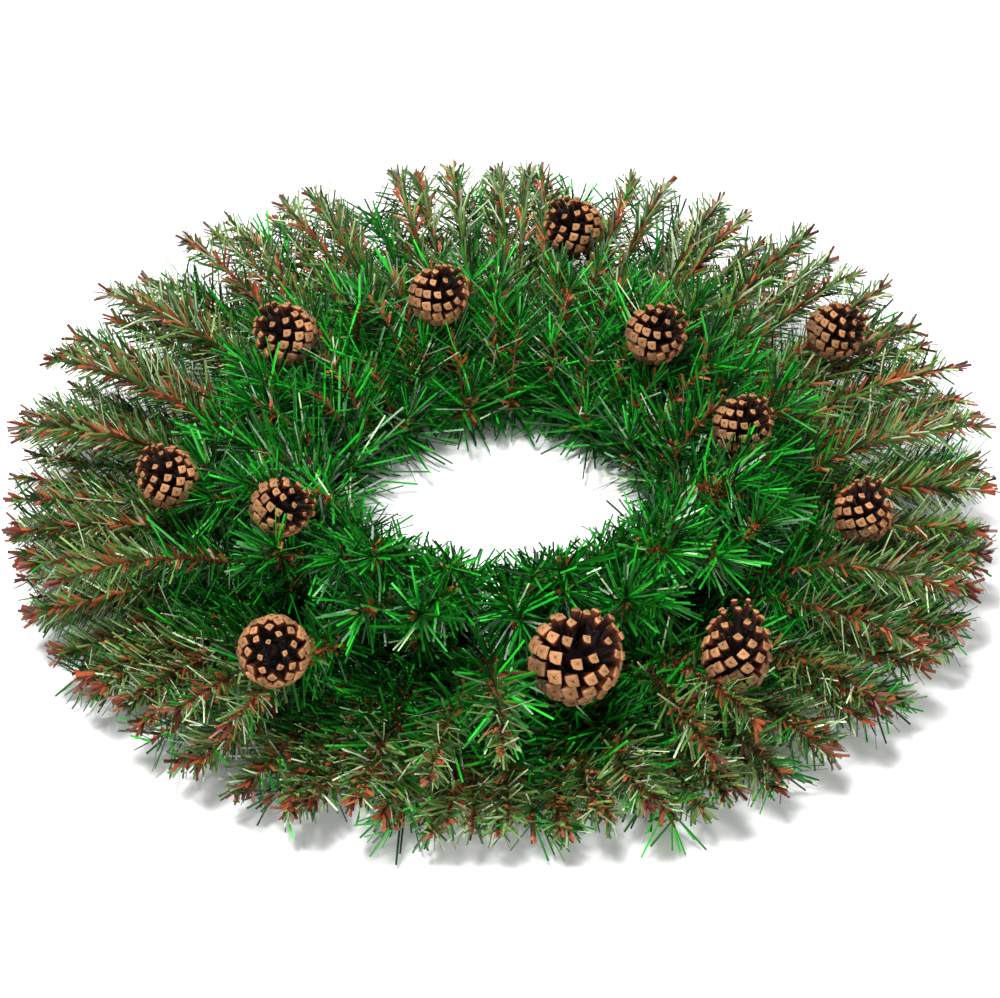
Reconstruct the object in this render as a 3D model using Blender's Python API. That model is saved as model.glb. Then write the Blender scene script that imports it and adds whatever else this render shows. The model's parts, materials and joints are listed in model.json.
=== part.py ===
"""An artificial spruce wreath with pine cones, lying on its back.

A wire ring carries two kinds of spray. A rim spray is a wire that lies along the ring at its middle and
bends outwards at both ends, one end lower than the other, so that the tips stand at four heights round the
rim. A green spray crosses the ring, with one arm towards the hole and one up over the crown. Needles are
drawn out of the faces of each wire. Pine cones sit among the sprays, each on a stalk that reaches the
nearest wire.
"""

import math

import bmesh
import bpy
import numpy as np
from mathutils import Vector
from mathutils.bvhtree import BVHTree

OBJECT_NAME = "spruce_wreath"
SEED = 11

# Wire ring, which rests on the flat underside of its six-sided section.
RING_RADIUS = 0.135
RING_WIRE = 0.0029
RING_SEGMENTS = 32
RING_SIDES = 6
RING_HALF_HEIGHT = RING_WIRE * math.sin(math.radians(60))
RING_TOP = 2 * RING_HALF_HEIGHT

# Wires of the sprays.
WIRE_FOOT = 0.0015
WIRE_TIP = 0.0011
SEAT_GAP = 0.0003
FOOT_HEIGHT = RING_TOP + SEAT_GAP + WIRE_FOOT
WIRE_CLEARANCE = 0.0042
PATH_STEPS = 96
FOOT_STEPS = 12
MOST_NEEDLE_SHARE = 0.72
LAYOUT_TRIES = 60

# Rim sprays. Tip heights of the two arms are taken in turn from these pairs.
RIM_SPRAYS = 24
RIM_TIP_HEIGHTS = ((0.082, 0.024), (0.063, 0.044))
RIM_LOW_TIP = 0.024
RIM_TIP_RADIUS = 0.292
RIM_DRAW_IN = 0.086
RIM_FOOT_RUN = 0.022
RIM_SHOULDER_RADIUS = 0.197
RIM_SHOULDER_TURN = 0.085
RIM_LOW_SHOULDER = 0.016
RIM_SHOULDER_RISE = 1.17
RIM_BARE_BANDS = 5
RIM_NEEDLE_BANDS = 10
RIM_NEEDLE_BAND = 0.0076
RIM_BANDS = (RIM_BARE_BANDS, RIM_NEEDLE_BANDS, RIM_NEEDLE_BAND)
RIM_NEEDLE = 0.022
RIM_LEAN = math.radians(44)

# Green sprays, placed in the gaps between rim sprays. Each tip has a radius and a height.
GREEN_SPRAYS = 20
GREEN_INNER_HIGH = (0.118, 0.056)
GREEN_INNER_LOW = (0.094, 0.034)
GREEN_OUTER_HIGH = (0.144, 0.088)
GREEN_OUTER_LOW = (0.176, 0.081)
GREEN_FOOT_RUN = 0.020
GREEN_HIGH_SHOULDER = 0.143
GREEN_LOW_SHOULDER = 0.158
GREEN_BARE_BANDS = 3
GREEN_NEEDLE_BANDS = 10
GREEN_NEEDLE_BAND = 0.0074
GREEN_BANDS = (GREEN_BARE_BANDS, GREEN_NEEDLE_BANDS, GREEN_NEEDLE_BAND)
GREEN_NEEDLE = 0.033
GREEN_LEAN = math.radians(56)

# Space that the needles keep to.
OUTER_RADIUS = 0.302
TOP_HEIGHT = 0.146
FLOOR_GAP = 0.0014
HOLE_RADIUS = 0.072
NEEDLE_BASE = 0.0021
NEEDLE_GAP = 0.0004
NEEDLE_DRAWS = 14
FULL_LENGTH_DRAWS = 8
LAST_DRAW_LENGTH = 0.72
LEAST_LEAN = math.radians(26)
MOST_LEAN = math.radians(77)
MOST_SWING = math.radians(46)
TIP_NEEDLE_SHARE = 0.45
SHORT_NEAR_TIP = 7
SHORT_NEEDLE_SHARE = 0.82

# Pine cones.
CONE_COLUMNS = 7
CONE_ROWS = 4
STALK = 0.0016
STALK_START = 0.004
STALK_BESIDE_WIRE = 0.0035
CONE_BOTTOM = 0.06
CONE_SPAN = 0.80


class Cone:
    """A pine cone's place: middle, direction from base to tip, length and width, in metres."""

    def __init__(self, azimuth, radius, height, across, up, towards, length, width):
        angle = math.radians(azimuth)
        self.middle = np.array([radius * math.cos(angle), radius * math.sin(angle), height])
        view = math.radians(38)
        axis = np.array([across, up * math.sin(view) - towards * math.cos(view),
                         up * math.cos(view) + towards * math.sin(view)])
        self.axis = axis / np.linalg.norm(axis)
        self.length = length
        self.width = width
        self.base = self.middle - self.axis * length * 0.5


# Azimuth, ring radius, height, then the lean as seen by the viewer: across, up and towards the viewer.
CONES = [
    Cone(78, 0.222, 0.084, -0.50, 0.60, 0.50, 0.040, 0.037),
    Cone(106, 0.132, 0.092, 0.50, 0.60, 0.50, 0.038, 0.036),
    Cone(149, 0.158, 0.094, -0.50, 0.55, 0.50, 0.040, 0.037),
    Cone(40, 0.130, 0.092, 0.60, 0.45, 0.50, 0.038, 0.036),
    Cone(25, 0.236, 0.082, 0.75, 0.30, 0.45, 0.038, 0.034),
    Cone(-4, 0.147, 0.092, 0.50, 0.60, 0.50, 0.037, 0.034),
    Cone(-166, 0.203, 0.084, -0.40, 0.60, 0.50, 0.038, 0.034),
    Cone(-143, 0.153, 0.092, 0.75, 0.10, 0.50, 0.037, 0.033),
    Cone(-21, 0.226, 0.084, 0.25, 0.80, 0.40, 0.037, 0.033),
    Cone(-120, 0.245, 0.088, 0.05, 0.10, 1.00, 0.036, 0.038),
    Cone(-78, 0.214, 0.086, 0.50, 0.60, 0.55, 0.052, 0.049),
    Cone(-57, 0.238, 0.084, 0.05, 0.90, 0.35, 0.050, 0.037),
    Cone(172, 0.154, 0.056, -0.30, 0.60, 0.50, 0.036, 0.033),
]


def polar(radius, angle, height):
    return np.array([radius * math.cos(angle), radius * math.sin(angle), height])


def bezier(start, first, second, end):
    """Points of a cubic curve, evenly spaced in its parameter."""
    t = np.linspace(0, 1, PATH_STEPS)[:, None]
    return ((1 - t) ** 3 * start + 3 * (1 - t) ** 2 * t * first
            + 3 * (1 - t) * t ** 2 * second + t ** 3 * end)


def rim_arm(foot_angle, side, tip_height, spread, rng):
    """Path of one end of a rim spray, from the ring out to its tip."""
    rise = tip_height - RIM_LOW_TIP
    tip_angle = foot_angle + side * math.pi / (2 * RIM_SPRAYS) + rng.normal(0, 0.005 * spread)
    radius = RIM_TIP_RADIUS - RIM_DRAW_IN * rise + rng.uniform(-0.003, 0.0)
    tip = polar(radius, tip_angle, tip_height + rng.uniform(-0.09, 0.03) * rise * spread)
    start = polar(RING_RADIUS, foot_angle, FOOT_HEIGHT)
    along = np.array([-math.sin(foot_angle), math.cos(foot_angle), 0.0]) * side
    first = start + along * (RIM_FOOT_RUN + rng.uniform(0, 0.004))
    shoulder_angle = foot_angle + side * RIM_SHOULDER_TURN + rng.uniform(-0.01, 0.01) * spread
    shoulder = RIM_LOW_SHOULDER + RIM_SHOULDER_RISE * rise + rng.uniform(-0.09, 0.02) * rise * spread
    return bezier(start, first, polar(RIM_SHOULDER_RADIUS, shoulder_angle, shoulder), tip)


def green_arm(foot_angle, inward, high, spread, rng):
    """Path of one end of a green spray: towards the hole, or up over the crown."""
    turn = rng.uniform(-0.08, 0.08) * spread
    lift = rng.uniform(-0.004, 0.004) * spread
    start = polar(RING_RADIUS, foot_angle, FOOT_HEIGHT)
    if inward:
        reach, height = GREEN_INNER_HIGH if high else GREEN_INNER_LOW
        height += lift
        first = polar(RING_RADIUS - GREEN_FOOT_RUN, foot_angle, FOOT_HEIGHT + 0.001)
        second = polar(reach - 0.004, foot_angle + turn * 0.5, height * 0.45)
        tip = polar(reach + rng.uniform(-0.003, 0.003), foot_angle + turn, height)
    else:
        reach, height = GREEN_OUTER_HIGH if high else GREEN_OUTER_LOW
        height += lift * 0.5
        first = polar(RING_RADIUS + GREEN_FOOT_RUN, foot_angle, FOOT_HEIGHT + 0.001)
        shoulder = GREEN_HIGH_SHOULDER if high else GREEN_LOW_SHOULDER
        second = polar(shoulder, foot_angle + turn * 0.5, height * 0.66)
        tip = polar(reach + rng.uniform(-0.005, 0.005) * spread, foot_angle + turn, height)
    return bezier(start, first, second, tip)


def nearest_gap(path, others):
    """Smallest distance from any point of a path to any point of the others."""
    if not len(others):
        return 1.0
    return float(np.sqrt(((path[:, None] - others[None]) ** 2).sum(axis=2).min()))


def cone_gap(points):
    """Smallest distance, roughly, from points to the surface of any cone."""
    best = 1.0
    for cone in CONES:
        away = points - cone.middle
        along = away @ cone.axis
        across = np.linalg.norm(away - along[:, None] * cone.axis, axis=1)
        share = np.sqrt((along / (cone.length * 0.60)) ** 2 + (across / (cone.width * 0.57)) ** 2)
        best = min(best, float(((share - 1) * cone.width * 0.5).min()))
    return best


def placed(draw, taken, rng):
    """The first of several random draws of a pair of arms that keeps clear of what is already there."""
    best, best_gap = None, -1.0
    for attempt in range(LAYOUT_TRIES):
        arms = draw(1.0 + 3.0 * attempt / LAYOUT_TRIES, rng)
        free = np.concatenate([arm[FOOT_STEPS:] for arm in arms])
        gap = min(nearest_gap(free, taken), cone_gap(free) + 0.001)
        if gap > best_gap:
            best, best_gap = arms, gap
        if gap > WIRE_CLEARANCE:
            break
    return best


def spray_paths():
    """Both arms of every spray, rim sprays first."""
    rng = np.random.default_rng(SEED)
    taken = np.zeros((0, 3))
    rims, greens = [], []
    for index in range(RIM_SPRAYS):
        angle = 2 * math.pi * (index + 0.25) / RIM_SPRAYS
        flip = 1 if index % 2 else -1
        upper, lower = RIM_TIP_HEIGHTS[index % 2]
        arms = placed(lambda w, r: [rim_arm(angle, flip, upper, w, r), rim_arm(angle, -flip, lower, w, r)],
                      taken, rng)
        rims.append(arms)
        taken = np.concatenate([taken] + arms)
    for index in range(GREEN_SPRAYS):
        gap = index * RIM_SPRAYS // GREEN_SPRAYS
        angle = 2 * math.pi * (gap + 0.75) / RIM_SPRAYS
        high = index % 2 == 0
        arms = placed(lambda w, r: [green_arm(angle, True, high, w, r),
                                    green_arm(angle, False, not high, w, r)], taken, rng)
        greens.append(arms)
        taken = np.concatenate([taken] + arms)
    return rims, greens


def at_lengths(path, lengths):
    """Points and directions at given lengths along a path."""
    steps = np.linalg.norm(np.diff(path, axis=0), axis=1)
    run = np.concatenate([[0.0], np.cumsum(steps)])
    points = np.stack([np.interp(lengths, run, path[:, k]) for k in range(3)], axis=1)
    ahead = np.minimum(lengths + 0.001, run[-1])
    behind = np.maximum(lengths - 0.001, 0.0)
    ways = np.stack([np.interp(ahead, run, path[:, k]) - np.interp(behind, run, path[:, k])
                     for k in range(3)], axis=1)
    return points, ways / np.linalg.norm(ways, axis=1)[:, None]


def band_lengths(path, bare_bands, needle_bands, needle_band):
    """Lengths along an arm where its wire has corners, closer together where it bears needles."""
    total = float(np.linalg.norm(np.diff(path, axis=0), axis=1).sum())
    needle_band = min(needle_band, total * MOST_NEEDLE_SHARE / needle_bands)
    bare = total - needle_bands * needle_band
    # The first bands at the foot are short, because the wire bends there.
    share = np.linspace(0, 1, bare_bands + 1) ** 1.35
    return np.concatenate([share * bare, bare + needle_band * np.arange(1, needle_bands + 1)])


def wire_line(path, kind):
    """The straight runs of an arm's wire, as its corner points and the directions there."""
    return at_lengths(path, band_lengths(path, *kind))


def wire_rings(path, lengths):
    """Three corner points at each length, each ring turned a sixth of a turn past the one before."""
    points, ways = at_lengths(path, lengths)
    normal = np.array([0.0, 0.0, -1.0])
    rings = []
    for index, (point, way) in enumerate(zip(points, ways)):
        normal = normal - way * (normal @ way)
        normal = normal / np.linalg.norm(normal)
        side = np.cross(way, normal)
        radius = WIRE_FOOT + (WIRE_TIP - WIRE_FOOT) * lengths[index] / lengths[-1]
        turns = [math.pi / 3 * index + 2 * math.pi / 3 * k for k in range(3)]
        rings.append([point + radius * (math.cos(a) * normal + math.sin(a) * side) for a in turns])
    return rings, ways


class Taken:
    """Tapered rods that later needles keep clear of: wires, stalks and needles."""

    def __init__(self):
        self.rows = []
        self.block = np.zeros((0, 9))

    def add(self, start, end, start_radius, end_radius, owner):
        self.rows.append(np.concatenate([start, end, [start_radius, end_radius, owner]]))

    def pack(self):
        """Moves the new rods into the array that is searched."""
        if self.rows:
            self.block = np.concatenate([self.block, np.array(self.rows)])
            self.rows = []

    def clear(self, start, end, owner, thickness=NEEDLE_BASE):
        """Whether a needle, or one edge of it, keeps its gap from every rod that isn't its own arm's."""
        rods = self.block
        middle = (start + end) / 2
        reach = np.linalg.norm(end - start) / 2
        centres = (rods[:, 0:3] + rods[:, 3:6]) / 2
        spans = np.linalg.norm(rods[:, 3:6] - rods[:, 0:3], axis=1) / 2
        near = (np.linalg.norm(centres - middle, axis=1) < reach + spans + 0.006) & (rods[:, 8] != owner)
        rods = rods[near]
        if not len(rods):
            return True
        a, b = rods[:, 0:3], rods[:, 3:6]
        run = b - a
        size = np.maximum((run ** 2).sum(axis=1), 1e-12)
        for share in np.linspace(0, 1, 15):
            point = start + (end - start) * share
            t = np.clip(((point - a) * run).sum(axis=1) / size, 0, 1)
            gap = np.linalg.norm(point - a - run * t[:, None], axis=1)
            radii = thickness * (1 - share) + rods[:, 6] + (rods[:, 7] - rods[:, 6]) * t
            if (gap < radii + NEEDLE_GAP).any():
                return False
        return True


def off_cones(start, end, thickness, cone_tree):
    """Whether a line, with this thickness at its start and none at its end, keeps its gap from the cones."""
    span = Vector(end - start)
    if cone_tree.ray_cast(Vector(start), span, span.length)[0]:
        return False
    return all(cone_tree.find_nearest(Vector(start) + span * share,
                                      thickness * (1 - share) + 2 * NEEDLE_GAP)[0] is None
               for share in np.linspace(0, 1, 12))


def in_bounds(start, end, cone_tree):
    """Whether a needle stays off the floor, out of the hole, inside the outline and off the cones."""
    shares = np.linspace(0, 1, 6)[:, None]
    points = start + (end - start) * shares
    radii = np.hypot(points[:, 0], points[:, 1])
    body = NEEDLE_BASE * (1 - shares[:, 0]) * 0.6
    if (points[:, 2] - body < FLOOR_GAP).any() or (points[:, 2] + body > TOP_HEIGHT).any():
        return False
    if (radii < HOLE_RADIUS).any() or (radii > OUTER_RADIUS).any():
        return False
    # The wire ring: its middle circle is RING_RADIUS from the axis, RING_HALF_HEIGHT above the floor.
    from_ring = np.hypot(radii - RING_RADIUS, points[:, 2] - RING_HALF_HEIGHT)
    if (from_ring < RING_WIRE + body + NEEDLE_GAP).any():
        return False
    return off_cones(start, end, NEEDLE_BASE, cone_tree)


def needle_end(face, way, lean, length, owner, taken, cone_tree, rng):
    """The point of a needle on this face, or None where no free direction is found."""
    corners = np.array([corner.co[:] for corner in face.verts])
    start = corners.mean(axis=0)
    out = np.array(face.normal[:])
    out = out - way * (out @ way)
    out = out / np.linalg.norm(out)
    side = np.cross(way, out)
    for attempt in range(NEEDLE_DRAWS):
        spread = 0.10 + 0.035 * attempt
        tilt = min(max(lean + rng.normal(0, spread), LEAST_LEAN), MOST_LEAN)
        swing = min(max(rng.normal(0, spread * 1.6), -MOST_SWING), MOST_SWING)
        reach = length * rng.uniform(0.86, 1.08)
        if attempt >= FULL_LENGTH_DRAWS:
            reach *= LAST_DRAW_LENGTH
        heading = math.cos(tilt) * way + math.sin(tilt) * (math.cos(swing) * out + math.sin(swing) * side)
        end = start + heading * reach
        free = in_bounds(start, end, cone_tree) and taken.clear(start, end, owner)
        if free and all(taken.clear(corner, end, owner, 0.0) and off_cones(corner, end, 0.0, cone_tree)
                        for corner in corners):
            return start, end
    return None


def tree_of(meshes):
    """One search tree over the faces of several meshes."""
    points, faces = [], []
    for bm in meshes:
        bm.verts.index_update()
        start = len(points)
        points += [vert.co.copy() for vert in bm.verts]
        faces += [[start + vert.index for vert in face.verts] for face in bm.faces]
    return BVHTree.FromPolygons(points, faces)


def link(mesh_name, bm, collection, material):
    """Turns a finished bmesh into one object of the collection."""
    bmesh.ops.recalc_face_normals(bm, faces=bm.faces)
    mesh = bpy.data.meshes.new(mesh_name)
    bm.to_mesh(mesh)
    bm.free()
    mesh.materials.append(material)
    thing = bpy.data.objects.new(mesh_name, mesh)
    collection.objects.link(thing)
    return thing


def arm_wire(bm, path, foot, kind, reverse):
    """Adds one arm's wire to the spray, sharing the foot's three corners, and returns its needle faces."""
    rings, ways = wire_rings(path, band_lengths(path, *kind))
    bare_bands = kind[0]
    below = [foot[0], foot[2], foot[1]] if reverse else foot
    bearing = []
    for index in range(1, len(rings)):
        above = [bm.verts.new(corner) for corner in rings[index]]
        for k in range(3):
            leading = bm.faces.new((below[k], below[(k + 1) % 3], above[k]))
            bm.faces.new((above[k], below[(k + 1) % 3], above[(k + 1) % 3]))
            if index > bare_bands:
                bearing.append((leading, ways[index]))
        below = above
    bearing.append((bm.faces.new(below), ways[-1]))
    return bearing


class Spray:
    """One spray: a bent wire with two arms, and a needle drawn out of each leading face near the tips."""

    def __init__(self, name, arms, kind, needle, lean, owner):
        self.name = name
        self.needle = needle
        self.lean = lean
        self.owner = owner
        self.bm = bmesh.new()
        rings, _ = wire_rings(arms[0], band_lengths(arms[0], *kind))
        foot = [self.bm.verts.new(corner) for corner in rings[0]]
        self.bearing = [arm_wire(self.bm, arms[0], foot, kind, False),
                        arm_wire(self.bm, arms[1], foot, kind, True)]
        self.bm.normal_update()

    def tip_needle(self, face, way, owner, taken, cone_tree):
        """The short needle that ends an arm, or None where it would hit something."""
        start = np.array(face.calc_center_median()[:])
        end = start + way * self.needle * TIP_NEEDLE_SHARE
        if in_bounds(start, end, cone_tree) and taken.clear(start, end, owner):
            return start, end
        return None

    def add_needles(self, taken, cone_tree):
        """Draws the needles out, arm by arm, so that each arm keeps clear of the other."""
        rng = np.random.default_rng(SEED + 100 + self.owner)
        for arm, bearing in enumerate(self.bearing):
            owner = self.owner * 2 + arm
            fresh = []
            for place, (face, way) in enumerate(bearing):
                shorter = 1.0 if place < len(bearing) - SHORT_NEAR_TIP else SHORT_NEEDLE_SHARE
                if place == len(bearing) - 1:
                    ends = self.tip_needle(face, way, owner, taken, cone_tree)
                else:
                    ends = needle_end(face, way, self.lean, self.needle * shorter, owner, taken,
                                      cone_tree, rng)
                if ends is None:
                    continue
                poked = bmesh.ops.poke(self.bm, faces=[face])
                poked["verts"][0].co = Vector(ends[1])
                fresh.append(ends)
            for start, end in fresh:
                taken.add(start, end, NEEDLE_BASE, 0.0001, owner)
            taken.pack()


def wire_ring(collection, material):
    """The ring of wire that carries the sprays."""
    bm = bmesh.new()
    section = []
    for k in range(RING_SIDES):
        angle = 2 * math.pi * k / RING_SIDES
        section.append(bm.verts.new((RING_RADIUS + RING_WIRE * math.cos(angle), 0.0,
                                     RING_HALF_HEIGHT + RING_WIRE * math.sin(angle))))
    edges = [bm.edges.new((section[k], section[(k + 1) % RING_SIDES])) for k in range(RING_SIDES)]
    bmesh.ops.spin(bm, geom=section + edges, cent=(0, 0, 0), axis=(0, 0, 1), angle=2 * math.pi,
                   steps=RING_SEGMENTS, use_merge=True)
    bmesh.ops.remove_doubles(bm, verts=bm.verts, dist=1e-6)
    return link("wire_ring", bm, collection, material)


def cone_profile(share):
    """Core radius of a cone at a share of its length, as a share of its width."""
    return 0.335 * math.sin(math.pi * (0.16 + 0.72 * share)) ** 0.75


def stalk_end(cone, wires, wire_tree, cone_tree):
    """The nearest place beside a wire that the cone's stalk can reach, stopping short of it by the gap."""
    away = wires - cone.base
    far = np.linalg.norm(away, axis=1)
    facing = (away @ cone.axis) / far
    # A wire straight behind the base counts as nearer than one beside it.
    cost = np.where((facing < -0.25) & (far > 0.006), far * (1.5 + facing), 9.0)
    for choice in np.argsort(cost)[:400:4]:
        way = away[choice] / far[choice]
        reach = STALK_START
        while stalk_gap(cone.base + way * reach, way, wire_tree) > SEAT_GAP + 0.00005:
            reach += max(0.5 * stalk_gap(cone.base + way * reach, way, wire_tree) - SEAT_GAP, 0.00004)
        steps = [cone.base + way * step for step in np.arange(STALK_START, reach, 0.002)]
        others = [cone_tree.find_nearest(Vector(step))[3] for step in steps]
        if abs(reach - far[choice]) < STALK_BESIDE_WIRE and min(others, default=1.0) > STALK * 0.6:
            return cone.base + way * reach
    raise ValueError("no wire in reach of a cone")


def stalk_gap(end, way, tree):
    """Smallest distance from the round end of a stalk to the wires."""
    helper = np.cross(way, [0.0, 0.0, 1.0]) if abs(way[2]) < 0.9 else np.cross(way, [1.0, 0.0, 0.0])
    first = helper / np.linalg.norm(helper)
    second = np.cross(way, first)
    spots = [end]
    for radius, back in ((1.0, 0.0), (0.75, 0.0), (0.5, 0.0), (0.25, 0.0), (1.0, 0.5), (1.0, 1.0)):
        for k in range(24):
            turn = math.pi * k / 12
            spoke = math.cos(turn) * first + math.sin(turn) * second
            spots.append(end + STALK * (radius * spoke - back * way))
    return min(tree.find_nearest(Vector(spot))[3] for spot in spots)


class PineCone:
    """One pine cone: staggered rings of scales on a core, closed at the tip, with a stalk at the base."""

    def __init__(self, name, cone):
        self.name = name
        self.cone = cone
        self.bm = bmesh.new()
        rings = self.core_rings()
        scales = self.core_faces(rings)
        tip = self.bm.faces.new(rings[-1])
        foot = self.bm.faces.new(list(reversed(rings[0])))
        bmesh.ops.recalc_face_normals(self.bm, faces=self.bm.faces)
        self.bm.normal_update()
        # The topmost scales close over the tip.
        crown = bmesh.ops.poke(self.bm, faces=[tip])["verts"][0]
        crown.co = Vector(cone.middle + cone.axis * cone.length * 0.5)
        open_scales(self.bm, scales, cone)
        self.foot = foot

    def core_rings(self):
        """Corner points of the core, each ring turned half a column past the one below."""
        cone = self.cone
        helper = np.array([0.0, 0.0, 1.0]) if abs(cone.axis[2]) < 0.9 else np.array([1.0, 0.0, 0.0])
        side = np.cross(helper, cone.axis)
        side = side / np.linalg.norm(side)
        other = np.cross(cone.axis, side)
        rings = []
        for row in range(CONE_ROWS + 2):
            share = row / (CONE_ROWS + 1)
            radius = cone_profile(share) * cone.width
            centre = cone.base + cone.axis * cone.length * (CONE_BOTTOM + CONE_SPAN * share)
            turns = [math.pi / CONE_COLUMNS * (row + 2 * k) for k in range(CONE_COLUMNS)]
            rings.append([self.bm.verts.new(centre + radius * (math.cos(a) * side + math.sin(a) * other))
                          for a in turns])
        return rings

    def core_faces(self, rings):
        """Closes the core between its rings and returns the faces that scales grow from."""
        scales = []
        last = len(rings) - 1
        for k in range(CONE_COLUMNS):
            ahead = (k + 1) % CONE_COLUMNS
            self.bm.faces.new((rings[0][k], rings[0][ahead], rings[1][k]))
            self.bm.faces.new((rings[last][k], rings[last - 1][ahead], rings[last][ahead]))
            for row in range(1, last):
                # A ring's point k sits between points k and k + 1 of the ring below it.
                scales.append(self.bm.faces.new((rings[row][k], rings[row - 1][ahead], rings[row][ahead],
                                                 rings[row + 1][k])))
        return scales

    def add_stalk(self, wires, wire_tree, cone_tree, taken, owner):
        """Draws the base out into a stalk, and marks it as taken."""
        end = stalk_end(self.cone, wires, wire_tree, cone_tree)
        bend = add_stalk(self.bm, self.foot, self.cone, end)
        taken.add(self.cone.base, bend, STALK + 0.001, STALK + 0.0006, owner)
        taken.add(bend, end, STALK + 0.0006, STALK + 0.0004, owner)


def open_scales(bm, scales, cone):
    """Draws each scale outwards and towards the tip, wider at its outer end, with gaps between."""
    drawn = bmesh.ops.extrude_discrete_faces(bm, faces=scales)["faces"]
    for face in drawn:
        centre = np.array(face.calc_center_median()[:])
        along = float((centre - cone.base) @ cone.axis) / cone.length
        spoke = centre - cone.base - cone.axis * along * cone.length
        spoke = spoke / np.linalg.norm(spoke)
        reach = cone.width * (0.5 - 0.93 * cone_profile(along)) * (1.02 - 0.25 * abs(along - 0.45))
        lift = cone.length * (0.035 + 0.085 * along)
        shift = spoke * reach + cone.axis * lift
        grow = 1.16 - 0.25 * abs(along - 0.4)
        for vert in face.verts:
            spot = np.array(vert.co[:])
            vert.co = Vector(centre + (spot - centre) * grow + shift)


def add_stalk(bm, foot, cone, end):
    """Draws the cone's base out into a stalk that ends beside the wire, and returns where it bends."""
    start = np.array(foot.calc_center_median()[:])
    length = np.linalg.norm(end - start)
    way = (end - start) / length
    bend = start - cone.axis * min(STALK_START, length * 0.3)
    ring = foot
    for centre, facing in ((bend, -cone.axis), (end, way)):
        ring = bmesh.ops.extrude_discrete_faces(bm, faces=[ring])["faces"][0]
        corners = list(ring.verts)
        helper = np.array(corners[0].co[:]) - np.array(ring.calc_center_median()[:])
        first = helper - facing * (helper @ facing)
        first = first / np.linalg.norm(first)
        second = np.cross(facing, first)
        for k, corner in enumerate(corners):
            angle = 2 * math.pi * k / len(corners)
            corner.co = Vector(centre + STALK * (math.cos(angle) * first + math.sin(angle) * second))
    return bend


def material(name, colour, roughness, metallic):
    """A plain Principled material."""
    made = bpy.data.materials.new(name)
    made.use_nodes = True
    shader = made.node_tree.nodes["Principled BSDF"]
    shader.inputs["Base Color"].default_value = (*colour, 1.0)
    shader.inputs["Roughness"].default_value = roughness
    shader.inputs["Metallic"].default_value = metallic
    made.diffuse_color = (*colour, 1.0)
    return made


def build():
    for thing in list(bpy.data.objects):
        bpy.data.objects.remove(thing)
    collection = bpy.data.collections.new(OBJECT_NAME)
    bpy.context.scene.collection.children.link(collection)
    ring_paint = material("green_wire_paint", (0.02, 0.09, 0.03), 0.45, 0.0)
    rim_plastic = material("muted_needle_plastic", (0.10, 0.13, 0.05), 0.5, 0.0)
    green_plastic = material("green_needle_plastic", (0.01, 0.21, 0.03), 0.4, 0.0)
    cone_wood = material("cone_wood", (0.30, 0.15, 0.07), 0.7, 0.0)

    wire_ring(collection, ring_paint)
    rims, greens = spray_paths()
    sprays = [Spray(f"rim_spray_{index + 1:02d}", arms, RIM_BANDS, RIM_NEEDLE, RIM_LEAN, index)
              for index, arms in enumerate(rims)]
    sprays += [Spray(f"green_spray_{index + 1:02d}", arms, GREEN_BANDS, GREEN_NEEDLE, GREEN_LEAN,
                     RIM_SPRAYS + index) for index, arms in enumerate(greens)]
    cones = [PineCone(f"pine_cone_{index + 1:02d}", cone) for index, cone in enumerate(CONES)]

    kinds = [RIM_BANDS] * len(rims) + [GREEN_BANDS] * len(greens)
    lines = [wire_line(arm, kind)[0] for arms, kind in zip(rims + greens, kinds) for arm in arms]
    shares = np.linspace(0, 1, 9)[:, None]
    wires = np.concatenate([a + (b - a) * shares for line in lines for a, b in zip(line[2:-1], line[3:])])
    wire_tree = tree_of([spray.bm for spray in sprays])
    cone_tree = tree_of([cone.bm for cone in cones])
    taken = Taken()
    for owner, line in enumerate(lines):
        for start, end in zip(line[:-1], line[1:]):
            taken.add(start, end, WIRE_FOOT, WIRE_FOOT, owner)
    for index, cone in enumerate(cones):
        cone.add_stalk(wires, wire_tree, cone_tree, taken, 1000 + index)
    taken.pack()
    # The long green needles are placed before the short ones of the rim.
    for spray in sprays[RIM_SPRAYS:] + sprays[:RIM_SPRAYS]:
        spray.add_needles(taken, cone_tree)
    for spray in sprays:
        link(spray.name, spray.bm, collection,
             rim_plastic if spray.name.startswith("rim") else green_plastic)
    for cone in cones:
        link(cone.name, cone.bm, collection, cone_wood)


build()
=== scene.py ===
"""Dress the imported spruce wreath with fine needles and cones, and set it in a plain pale studio.

The wires follow the same rule as the solids they stand for, so every spray lies where its node lies. Each
spray gets flat plastic needles twisted into its wire, each cone gets its spiral of woody scales, and more
sprays fill the ring between them. All sizes are in metres.
"""

from __future__ import annotations

import json
import logging
import math
from collections.abc import Callable, Sequence
from dataclasses import dataclass, field
from enum import Enum

import bmesh
import bpy
import numpy as np
from mathutils import Matrix, Vector

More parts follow.
